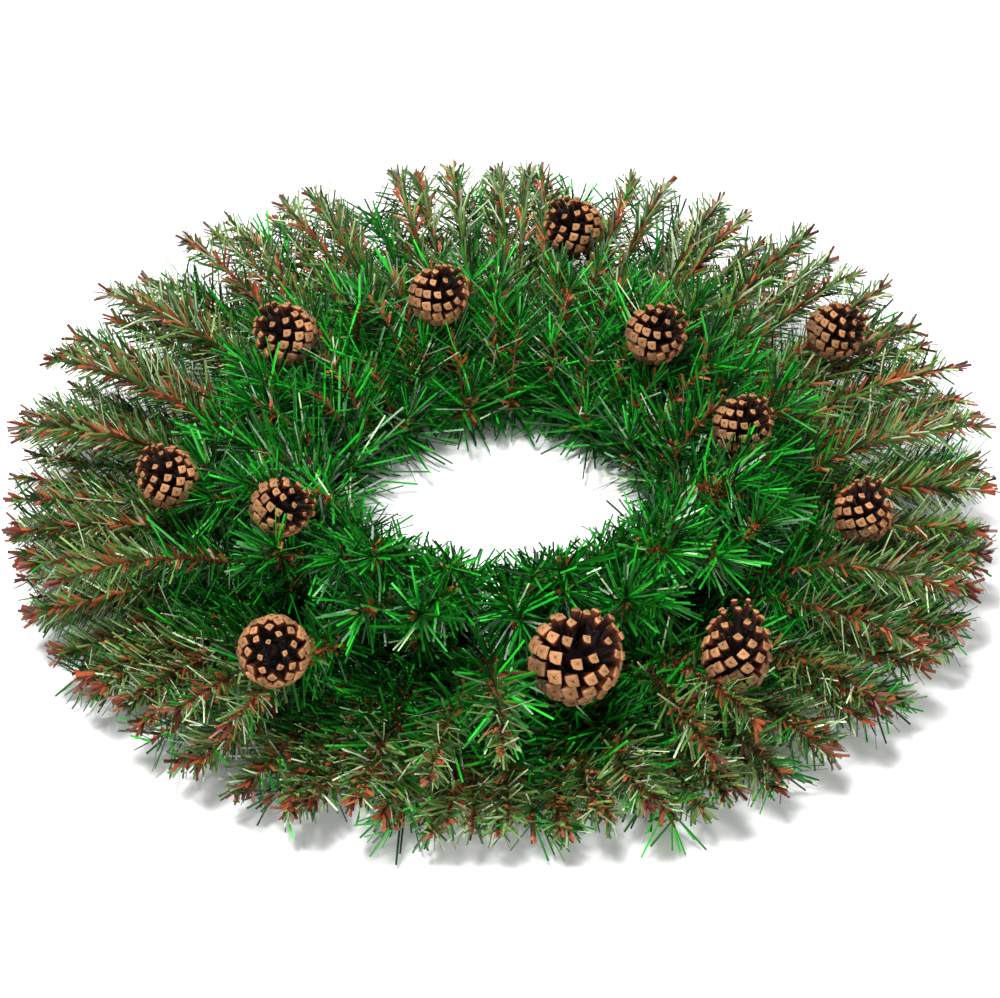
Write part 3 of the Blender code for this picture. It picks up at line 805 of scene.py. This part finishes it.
def finished_piece(name: str, bm: bmesh.types.BMesh, finish: bpy.types.Material,
                   node: str | None, smooth: bool) -> bpy.types.Object:
    """Turn a bmesh into a piece that rides on the body.

    Args:
        name: Name of the piece.
        bm: The shape, which this uses up.
        finish: Material.
        node: The solid that it stands for, if there is one.
        smooth: Whether its faces are shaded as one round surface.

    Returns:
        The piece.
    """
    mesh = bpy.data.meshes.new(name)
    bm.to_mesh(mesh)
    bm.free()
    mesh.materials.append(finish)
    if smooth:
        mesh.shade_smooth()
    piece = bpy.data.objects.new(name, mesh)
    bpy.context.scene.collection.objects.link(piece)
    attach(piece, BODY)
    if node is not None:
        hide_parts(node)
    log.info("%s: %d faces", name, len(mesh.polygons))
    return piece


@dataclass
class FineCone:
    """A pine cone with a spiral of woody scales round a slim core, closed at the base and open above."""

    place: ConePlace
    scale_stamp: Stamp
    rng: np.random.Generator

    @staticmethod
    def scale_template() -> Stamp:
        """Make one scale: a narrow root at the origin that widens along Y to a thick plate with a boss.

        Returns:
            The scale as a stamp.
        """
        bm = bmesh.new()
        bmesh.ops.create_circle(bm, cap_ends=True, segments=8, radius=0.5)
        for vert in bm.verts:
            # A rhombic plate that is wider than tall, blunt above and pointed below.
            x, z = vert.co.x * 2, vert.co.y * 2
            squeeze = 1.0 if abs(x) < 0.1 or abs(z) < 0.1 else (0.86 if z > 0 else 0.74)
            vert.co = Vector((x * 0.50 * squeeze, 1.0, z * (0.38 if z > 0 else 0.52) * squeeze))
        root = bmesh.ops.extrude_face_region(bm, geom=bm.faces[:])
        moved = [item for item in root["geom"] if isinstance(item, bmesh.types.BMVert)]
        for vert in moved:
            vert.co = Vector((vert.co.x * 0.62, 0.0, vert.co.z * 0.28 - 0.05))
        bmesh.ops.recalc_face_normals(bm, faces=bm.faces)
        for thickness, depth in ((0.06, 0.05), (0.12, 0.03), (0.12, 0.0)):
            bm.normal_update()
            front = max(bm.faces, key=lambda item: item.calc_center_median().y)
            bmesh.ops.inset_region(bm, faces=[front], thickness=thickness, depth=depth)
        front = max(bm.faces, key=lambda item: item.calc_center_median().y)
        boss = bmesh.ops.poke(bm, faces=[front])["verts"][0]
        boss.co.y += 0.07
        bmesh.ops.triangulate(bm, faces=bm.faces)
        bmesh.ops.recalc_face_normals(bm, faces=bm.faces)
        return Stamp.from_bmesh("cone_scale", bm)

    @staticmethod
    def half_width(share: np.ndarray) -> np.ndarray:
        """Return the half width of the cone at shares of its length, as a share of its width."""
        return 0.5 * np.sin(math.pi * (0.12 + 0.86 * share ** 0.85)) ** 0.6

    def tinted_since(self, bm: bmesh.types.BMesh, before: int, tint: tuple[float, ...]) -> None:
        """Give all the points added since a count the same tint.

        Args:
            bm: The cone's mesh.
            before: The count.
            tint: The tint.
        """
        layer = bm.verts.layers.float_color[TINT]
        bm.verts.ensure_lookup_table()
        for vert in bm.verts[before:]:
            vert[layer] = tint

    def core(self, bm: bmesh.types.BMesh) -> None:
        """Add the core that the scales stand on.

        Args:
            bm: The cone's mesh.
        """
        place = self.place
        before = len(bm.verts)
        turn = Vector(place.axis).to_track_quat("Z", "Y").to_matrix().to_4x4()
        size = Matrix.Diagonal((place.width * 0.11, place.width * 0.11, place.length * 0.34, 1.0))
        bmesh.ops.create_icosphere(bm, subdivisions=2, radius=1.0,
                                   matrix=Matrix.Translation(place.middle) @ turn @ size)
        # The core takes the near-black end of the cone ramp: painted shade deep inside the cone.
        self.tinted_since(bm, before, (0.0, 0.3, 0.2, 1.0))

    def stalk(self, bm: bmesh.types.BMesh, wires: np.ndarray) -> None:
        """Add the bound stalk from the base to the wire that carries the cone.

        Args:
            bm: The cone's mesh.
            wires: Points of all the wires that a stalk can be bound to.
        """
        place = self.place
        away = wires - place.base
        far = np.linalg.norm(away, axis=1)
        facing = (away @ place.axis) / far
        cost = np.where((facing < -0.25) & (far > 0.006), far * (1.5 + facing), 9.0)
        end = wires[int(cost.argmin())]
        start = place.base + place.axis * place.length * 0.10
        way = Vector(end - start)
        turn = way.to_track_quat("Z", "Y").to_matrix().to_4x4()
        before = len(bm.verts)
        bmesh.ops.create_cone(bm, cap_ends=True, segments=8, radius1=0.0017, radius2=0.0013,
                              depth=way.length, matrix=Matrix.Translation((start + end) / 2) @ turn)
        self.tinted_since(bm, before, (0.35, 0.45, 0.8, 1.0))

    def build(self, name: str, node: str, wires: np.ndarray, finish: bpy.types.Material) -> bpy.types.Object:
        """Build the cone and return its piece.

        Args:
            name: Name of the piece.
            node: The solid that it stands for.
            wires: Points of all the wires that a stalk can be bound to.
            finish: Material.

        Returns:
            The piece.
        """
        place, rng = self.place, self.rng
        bm = bmesh.new()
        bm.verts.layers.float_color.new(TINT)
        axis = place.axis
        first = SprayBuilder.around(axis[None], np.zeros(1))[0]
        second = np.cross(axis, first)
        spots = np.linspace(0.0, 1.0, 200)
        density = self.half_width(spots) * (1.25 - 0.5 * spots) + 0.10 * spots
        density = np.cumsum(density) / density.sum()
        for index in range(CONE_SCALES):
            share = (index + 0.5) / CONE_SCALES
            height = float(np.interp(share, density, spots))
            radius = float(self.half_width(np.array(height))) * place.width
            turn = index * GOLDEN_ANGLE + rng.normal(0, 0.04)
            spoke = math.cos(turn) * first + math.sin(turn) * second
            # Scales hug the base, stand out at the middle and close towards the tip.
            opening = math.radians(112 - 104 * height ** 0.9 + rng.normal(0, 4))
            way = math.cos(opening) * axis + math.sin(opening) * spoke
            tip = place.base + axis * place.length * height + spoke * radius
            long = max(0.37 * place.width * (1.0 - 0.55 * height), 0.005)
            side = np.cross(axis, spoke)
            normal = np.cross(side, way)
            open_share = min(1.0, max(0.0, (height - 0.15) / 0.30))
            plate = place.width * (0.258 - 0.056 * open_share) * (1.0 - 0.55 * max(0.0, height - 0.5) / 0.5)
            matrix = Matrix.Identity(4)
            matrix.col[0] = (*(side * plate), 0)
            matrix.col[1] = (*(way * long), 0)
            matrix.col[2] = (*(normal * plate * 0.95), 0)
            matrix.col[3] = (*(tip - way * long), 1)
            tone = float(np.clip(rng.normal(0.22 + 0.36 * open_share, 0.12), 0, 1))
            self.scale_stamp.press(bm, matrix, 0.5, tone)
        self.core(bm)
        self.stalk(bm, wires)
        return finished_piece(name, bm, finish, node, smooth=False)


@dataclass
class FineRing:
    """The painted wire ring, round in section, with a flat worn underside."""

    segments: int = 96
    sides: int = 16

    def build(self, finish: bpy.types.Material) -> bpy.types.Object:
        """Build the ring and return its piece.

        Args:
            finish: Material.

        Returns:
            The piece.
        """
        bm = bmesh.new()
        layer = bm.verts.layers.float_color.new(TINT)
        circle = bmesh.ops.create_circle(
            bm, segments=self.sides, radius=RING_HALF_HEIGHT * 1.03,
            matrix=Matrix.Translation((RING_RADIUS, 0, RING_HALF_HEIGHT)) @ Matrix.Rotation(
                math.pi / 2, 4, "X"))
        edges = list({edge for vert in circle["verts"] for edge in vert.link_edges})
        bmesh.ops.spin(bm, geom=circle["verts"] + edges, cent=(0, 0, 0), axis=(0, 0, 1),
                       angle=2 * math.pi, steps=self.segments, use_merge=True)
        bmesh.ops.remove_doubles(bm, verts=bm.verts, dist=1e-6)
        for vert in bm.verts:
            vert.co.z = min(max(vert.co.z, 0.0), 2 * RING_HALF_HEIGHT)
            vert[layer] = (0.5, 0.5, 0.5, 1.0)
        bmesh.ops.recalc_face_normals(bm, faces=bm.faces)
        return finished_piece("painted_ring", bm, finish, "wire_ring", smooth=True)


@dataclass(frozen=True)
class Finish:
    """A procedural material driven by the piece's tint.

    Args:
        name: Name of the material.
        ramp: Place and linear colour of each stop along the ramp.
        by_length: Whether the ramp runs along each copy rather than by its hue.
        roughness: Least and greatest roughness.
        grain: Scale of the noise that varies colour, roughness and height.
        relief: Height of the bump.
        gloss: Specular level.
    """

    name: str
    ramp: tuple[tuple[float, tuple[float, float, float]], ...]
    roughness: tuple[float, float]
    grain: float
    relief: float
    by_length: bool = False
    gloss: float = 0.5

    def build(self) -> bpy.types.Material:
        """Build the material.

        Returns:
            The material.
        """
        made = bpy.data.materials.new(self.name)
        made.use_nodes = True
        tree = made.node_tree
        nodes, links = tree.nodes, tree.links
        shader = nodes["Principled BSDF"]
        tint = nodes.new("ShaderNodeAttribute")
        tint.attribute_name = TINT
        parts = nodes.new("ShaderNodeSeparateColor")
        links.new(tint.outputs["Color"], parts.inputs["Color"])
        ramp = nodes.new("ShaderNodeValToRGB")
        stops = ramp.color_ramp.elements
        while len(stops) < len(self.ramp):
            stops.new(0.5)
        for stop, (position, colour) in zip(stops, self.ramp):
            stop.position = position
            stop.color = (*colour, 1.0)
        links.new(parts.outputs["Blue" if self.by_length else "Red"], ramp.inputs["Fac"])
        where = nodes.new("ShaderNodeTexCoord")
        noise = nodes.new("ShaderNodeTexNoise")
        noise.inputs["Scale"].default_value = self.grain
        noise.inputs["Detail"].default_value = 3.0
        links.new(where.outputs["Object"], noise.inputs["Vector"])
        tone = nodes.new("ShaderNodeMath")
        tone.operation = "MULTIPLY_ADD"
        tone.inputs[1].default_value = 0.5
        links.new(noise.outputs["Fac"], tone.inputs[0])
        links.new(parts.outputs["Green"], tone.inputs[2])
        light = nodes.new("ShaderNodeMapRange")
        light.inputs["From Min"].default_value = 0.25
        light.inputs["From Max"].default_value = 1.25
        light.inputs["To Min"].default_value = 0.22
        light.inputs["To Max"].default_value = 2.1
        links.new(tone.outputs["Value"], light.inputs["Value"])
        scaled = nodes.new("ShaderNodeVectorMath")
        scaled.operation = "SCALE"
        links.new(ramp.outputs["Color"], scaled.inputs[0])
        links.new(light.outputs["Result"], scaled.inputs["Scale"])
        links.new(scaled.outputs["Vector"], shader.inputs["Base Color"])
        rough = nodes.new("ShaderNodeMapRange")
        rough.inputs["To Min"].default_value = self.roughness[0]
        rough.inputs["To Max"].default_value = self.roughness[1]
        links.new(noise.outputs["Fac"], rough.inputs["Value"])
        links.new(rough.outputs["Result"], shader.inputs["Roughness"])
        bump = nodes.new("ShaderNodeBump")
        bump.inputs["Strength"].default_value = 0.5
        bump.inputs["Distance"].default_value = self.relief
        links.new(noise.outputs["Fac"], bump.inputs["Height"])
        links.new(bump.outputs["Normal"], shader.inputs["Normal"])
        shader.inputs["Specular IOR Level"].default_value = self.gloss
        return made


# Stops 0.00 to 0.08 are painted shade, dark copies of the green; 0.24 to 0.33 are painted light, lit copies
# of it; 0.62 and 0.71 are a painted highlight, the pale gloss of glossy needles.
NEEDLE_RAMP = (
    (0.00, (0.001, 0.016, 0.002)), (0.08, (0.001, 0.045, 0.002)), (0.16, (0.002, 0.095, 0.003)),
    (0.24, (0.004, 0.190, 0.007)), (0.33, (0.014, 0.380, 0.018)), (0.39, (0.014, 0.038, 0.004)),
    (0.45, (0.026, 0.066, 0.009)), (0.49, (0.064, 0.130, 0.024)), (0.57, (0.165, 0.255, 0.066)),
    (0.62, (0.240, 0.330, 0.150)), (0.71, (0.460, 0.570, 0.370)), (0.74, (0.120, 0.022, 0.006)),
    (0.79, (0.240, 0.050, 0.015)), (0.84, (0.340, 0.095, 0.034)), (0.89, (0.150, 0.030, 0.012)),
    (0.98, (0.055, 0.010, 0.006)))

RIM_FINISH = Finish(name="muted_needles", ramp=NEEDLE_RAMP, roughness=(0.30, 0.50), grain=300.0,
                    relief=0.0002, gloss=0.50)

GREEN_FINISH = Finish(name="green_needles", ramp=NEEDLE_RAMP, roughness=(0.28, 0.46), grain=300.0,
                      relief=0.0002, gloss=0.40)

# Along each scale from root to boss: the near-black towards the root is painted shade in the gaps between
# the scales.
CONE_FINISH = Finish(
    name="cone_scales",
    ramp=((0.00, (0.002, 0.001, 0.001)), (0.55, (0.014, 0.003, 0.001)), (0.83, (0.085, 0.018, 0.006)),
          (0.87, (0.200, 0.082, 0.034)), (0.91, (0.285, 0.145, 0.062)), (0.96, (0.180, 0.078, 0.032)),
          (1.00, (0.050, 0.018, 0.007))),
    roughness=(0.50, 0.75), grain=420.0, relief=0.0006, by_length=True, gloss=0.18)

RING_FINISH = Finish(
    name="ring_paint",
    ramp=((0.0, (0.006, 0.030, 0.010)), (1.0, (0.012, 0.060, 0.020))),
    roughness=(0.30, 0.50), grain=160.0, relief=0.0003)


@dataclass
class Studio:
    """A pale floor, soft lights and the photo's camera."""

    floor_size: float = 12.0

    def floor(self) -> None:
        """Lay the pale floor."""
        bm = bmesh.new()
        bmesh.ops.create_grid(bm, x_segments=8, y_segments=8, size=self.floor_size / 2)
        mesh = bpy.data.meshes.new("floor")
        bm.to_mesh(mesh)
        bm.free()
        made = bpy.data.materials.new("floor_paper")
        made.use_nodes = True
        nodes, links = made.node_tree.nodes, made.node_tree.links
        where = nodes.new("ShaderNodeTexCoord")
        noise = nodes.new("ShaderNodeTexNoise")
        noise.inputs["Scale"].default_value = 6.0
        links.new(where.outputs["Object"], noise.inputs["Vector"])
        ramp = nodes.new("ShaderNodeValToRGB")
        ramp.color_ramp.elements[0].color = (0.90, 0.90, 0.90, 1.0)
        ramp.color_ramp.elements[1].color = (0.93, 0.93, 0.93, 1.0)
        links.new(noise.outputs["Fac"], ramp.inputs["Fac"])
        links.new(ramp.outputs["Color"], nodes["Principled BSDF"].inputs["Base Color"])
        nodes["Principled BSDF"].inputs["Roughness"].default_value = 0.9
        mesh.materials.append(made)
        floor = bpy.data.objects.new("floor", mesh)
        bpy.context.scene.collection.objects.link(floor)
        floor.location.z = -FLOOR_DROP

    @staticmethod
    def area(name: str, spot: Vector, energy: float, size: float) -> None:
        """Hang one square soft light that faces the wreath.

        Args:
            name: Name of the light.
            spot: Where it hangs.
            energy: Power in watts.
            size: Width.
        """
        lamp = bpy.data.lights.new(name, "AREA")
        lamp.energy = energy
        lamp.size = size
        holder = bpy.data.objects.new(name, lamp)
        holder.location = spot
        holder.rotation_euler = (VIEW_TARGET - spot).to_track_quat("-Z", "Y").to_euler()
        bpy.context.scene.collection.objects.link(holder)

    def lights(self) -> None:
        """Light the wreath softly from above, from the front and from behind."""
        for name, spot, energy, size in LIGHTS:
            self.area(name, Vector(spot), energy, size)
        world = bpy.data.worlds.new("studio")
        world.use_nodes = True
        sky = world.node_tree.nodes["Background"]
        sky.inputs["Color"].default_value = (1.0, 1.0, 1.0, 1.0)
        sky.inputs["Strength"].default_value = SKY_STRENGTH
        bpy.context.scene.world = world
        bpy.context.scene.view_settings.view_transform = "Standard"

    def camera(self) -> None:
        """Set the camera where the photo was taken from."""
        height = math.radians(VIEW_HEIGHT_DEG)
        back = Vector((0.0, -math.cos(height), math.sin(height)))
        lens = bpy.data.cameras.new("view")
        lens.sensor_width = SENSOR
        lens.lens = LENS
        lens.shift_y = SHIFT_Y
        lens.clip_start = 0.05
        lens.dof.use_dof = False
        holder = bpy.data.objects.new("view", lens)
        holder.location = VIEW_TARGET + back * VIEW_DISTANCE
        holder.rotation_euler = (-back).to_track_quat("-Z", "Y").to_euler()
        bpy.context.scene.collection.objects.link(holder)
        bpy.context.scene.camera = holder

    def build(self) -> None:
        """Build the whole studio."""
        self.floor()
        self.lights()
        self.camera()


@dataclass
class FillerLayout:
    """Further sprays that have no solid of their own, laid between the others."""

    rng: np.random.Generator

    @staticmethod
    def kept_clear(draw: Callable[[float], Arm]) -> Arm:
        """Return the first of several draws that keeps clear of the cones.

        Args:
            draw: Draws an arm, more widely as its argument grows.

        Returns:
            The arm, or that of the best draw where none is clear.
        """
        best, best_gap = None, -1.0
        for attempt in range(FILLER_TRIES):
            arm = draw(1.0 + FILLER_SPREAD_STEP * attempt)
            gap = SprayLayout.cone_gap(arm)
            if gap > best_gap:
                best, best_gap = arm, gap
            if gap > FILLER_CONE_GAP:
                break
        return best

    def rim_arm(self, angle: float, height: float, spread: float) -> Arm:
        """Return an arm that runs out to the rim.

        Args:
            angle: Angle round the ring.
            height: Height of the tip.
            spread: How much the draw may stray.

        Returns:
            The path.
        """
        rng = self.rng
        angle += rng.normal(0, 0.010) * spread
        height += rng.uniform(-0.003, 0.002) * spread
        rise = height - RIM_LOW_TIP
        start = polar(RING_RADIUS + 0.004, angle, 0.014)
        first = polar(0.165, angle, 0.014 + height * 0.25)
        shoulder = polar(RIM_SHOULDER_RADIUS + 0.02, angle, RIM_LOW_SHOULDER + RIM_SHOULDER_RISE * rise)
        reach = RIM_TIP_RADIUS - RIM_DRAW_IN * rise + rng.uniform(-0.004, 0.0)
        return bezier(start, first, shoulder, polar(reach, angle + rng.normal(0, 0.006) * spread, height))

    def rim_arms(self) -> tuple[list[Arm], list[Arm]]:
        """Return arms that run out to the rim at the heights where the solids' arms leave room.

        Returns:
            The muted arms, and the green ones that lie lowest.
        """
        arms, under = [], []
        slots = 2 * RIM_SPRAYS
        for index in range(slots):
            angle = 2 * math.pi * index / slots
            # Slot by slot the solids' tips stand at these four heights: these take the one two steps away.
            lift = FILLER_TILT * math.sin(angle)
            other = FILLER_HEIGHTS[(index + 2) % len(FILLER_HEIGHTS)] + lift
            other = min(RIM_TIP_HEIGHTS[0][0], max(RIM_LOW_TIP, other))
            arms.append(self.kept_clear(lambda w: self.rim_arm(angle, other, w)))
            middle = angle + math.pi / slots
            if index % 2:
                upper = FILLER_UPPER_HEIGHT + lift
                arms.append(self.kept_clear(lambda w: self.rim_arm(middle, upper, w)))
            else:
                lower = max(RIM_LOW_TIP, FILLER_UNDER_HEIGHT + lift)
                under.append(self.kept_clear(lambda w: self.rim_arm(middle, lower, w)))
            if math.sin(angle) < NEAR_SIDE:
                beside = angle + 0.5 * math.pi / slots
                arms.append(self.kept_clear(lambda w: self.rim_arm(beside, FILLER_NEAR_HEIGHT, w)))
        return arms, under

    def green_arm(self, angle: float, bend: float, reach: float, height: float, spread: float) -> Arm:
        """Return an arm that passes low under the hole's edge, then rises and leans outwards.

        Args:
            angle: Angle round the ring.
            bend: Radius of the low bend by the hole.
            reach: Radius of the tip.
            height: Height of the tip.
            spread: How much the draw may stray.

        Returns:
            The path.
        """
        rng = self.rng
        angle += rng.normal(0, 0.03) * spread
        reach += rng.uniform(-0.006, 0.006) * spread
        height += rng.uniform(-0.006, 0.003)
        start = polar(RING_RADIUS, angle, 0.012)
        first = polar(bend, angle, 0.008)
        second = polar(bend * 0.55 + reach * 0.45, angle, height * 0.85)
        return bezier(start, first, second, polar(reach, angle + rng.normal(0, 0.04), height))

    def green_arms(self) -> list[Arm]:
        """Return arms that stand up round the hole and over the crown.

        Returns:
            The arms.
        """
        arms = []
        for index in range(GREEN_FILLERS):
            angle = 2 * math.pi * index / GREEN_FILLERS
            bend, reach, height = GREEN_FILLER_TIPS[index % len(GREEN_FILLER_TIPS)]
            arms.append(self.kept_clear(lambda w: self.green_arm(angle, bend, reach, height, w)))
        return arms


def main() -> None:
    """Build the wreath's visible pieces, then the studio."""
    layout = SprayLayout()
    layout.lay()
    rim_finish, green_finish = RIM_FINISH.build(), GREEN_FINISH.build()
    cone_finish, ring_finish = CONE_FINISH.build(), RING_FINISH.build()
    FineRing().build(ring_finish)
    builder = SprayBuilder(np.random.default_rng(SEED + 1))
    for index, arms in enumerate(layout.rims, start=1):
        builder.spray(f"rim_needles_{index:02d}", arms, RIM_STYLE, rim_finish, f"rim_spray_{index:02d}")
    for index, arms in enumerate(layout.greens, start=1):
        builder.spray(f"green_needles_{index:02d}", arms, GREEN_STYLE, green_finish,
                      f"green_spray_{index:02d}")
    filler = FillerLayout(np.random.default_rng(SEED + 2))
    (rim_arms, under_arms), green_arms = filler.rim_arms(), filler.green_arms()
    for index in range(FILLER_PIECES):
        number = f"{index + 1:02d}"
        builder.spray(f"rim_filler_{number}", rim_arms[index::FILLER_PIECES], RIM_STYLE, rim_finish)
        builder.spray(f"green_filler_{number}", green_arms[index::FILLER_PIECES], GREEN_STYLE, green_finish)
        builder.spray(f"under_filler_{number}", under_arms[index::FILLER_PIECES], UNDER_STYLE, green_finish)
    wires = np.concatenate([arm[2 * FOOT_STEPS:] for arms in layout.rims + layout.greens for arm in arms])
    stamp = FineCone.scale_template()
    rng = np.random.default_rng(SEED + 3)
    for index, place in enumerate(CONES, start=1):
        FineCone(place, stamp, rng).build(f"scaled_cone_{index:02d}", f"pine_cone_{index:02d}", wires,
                                          cone_finish)
    Studio().build()
    total = sum(len(thing.data.polygons) for thing in bpy.data.objects if thing.type == "MESH")
    log.info("faces in all: %d", total)


if __name__ == "__main__":
    logging.basicConfig(level=logging.INFO, format="%(message)s")
    main()
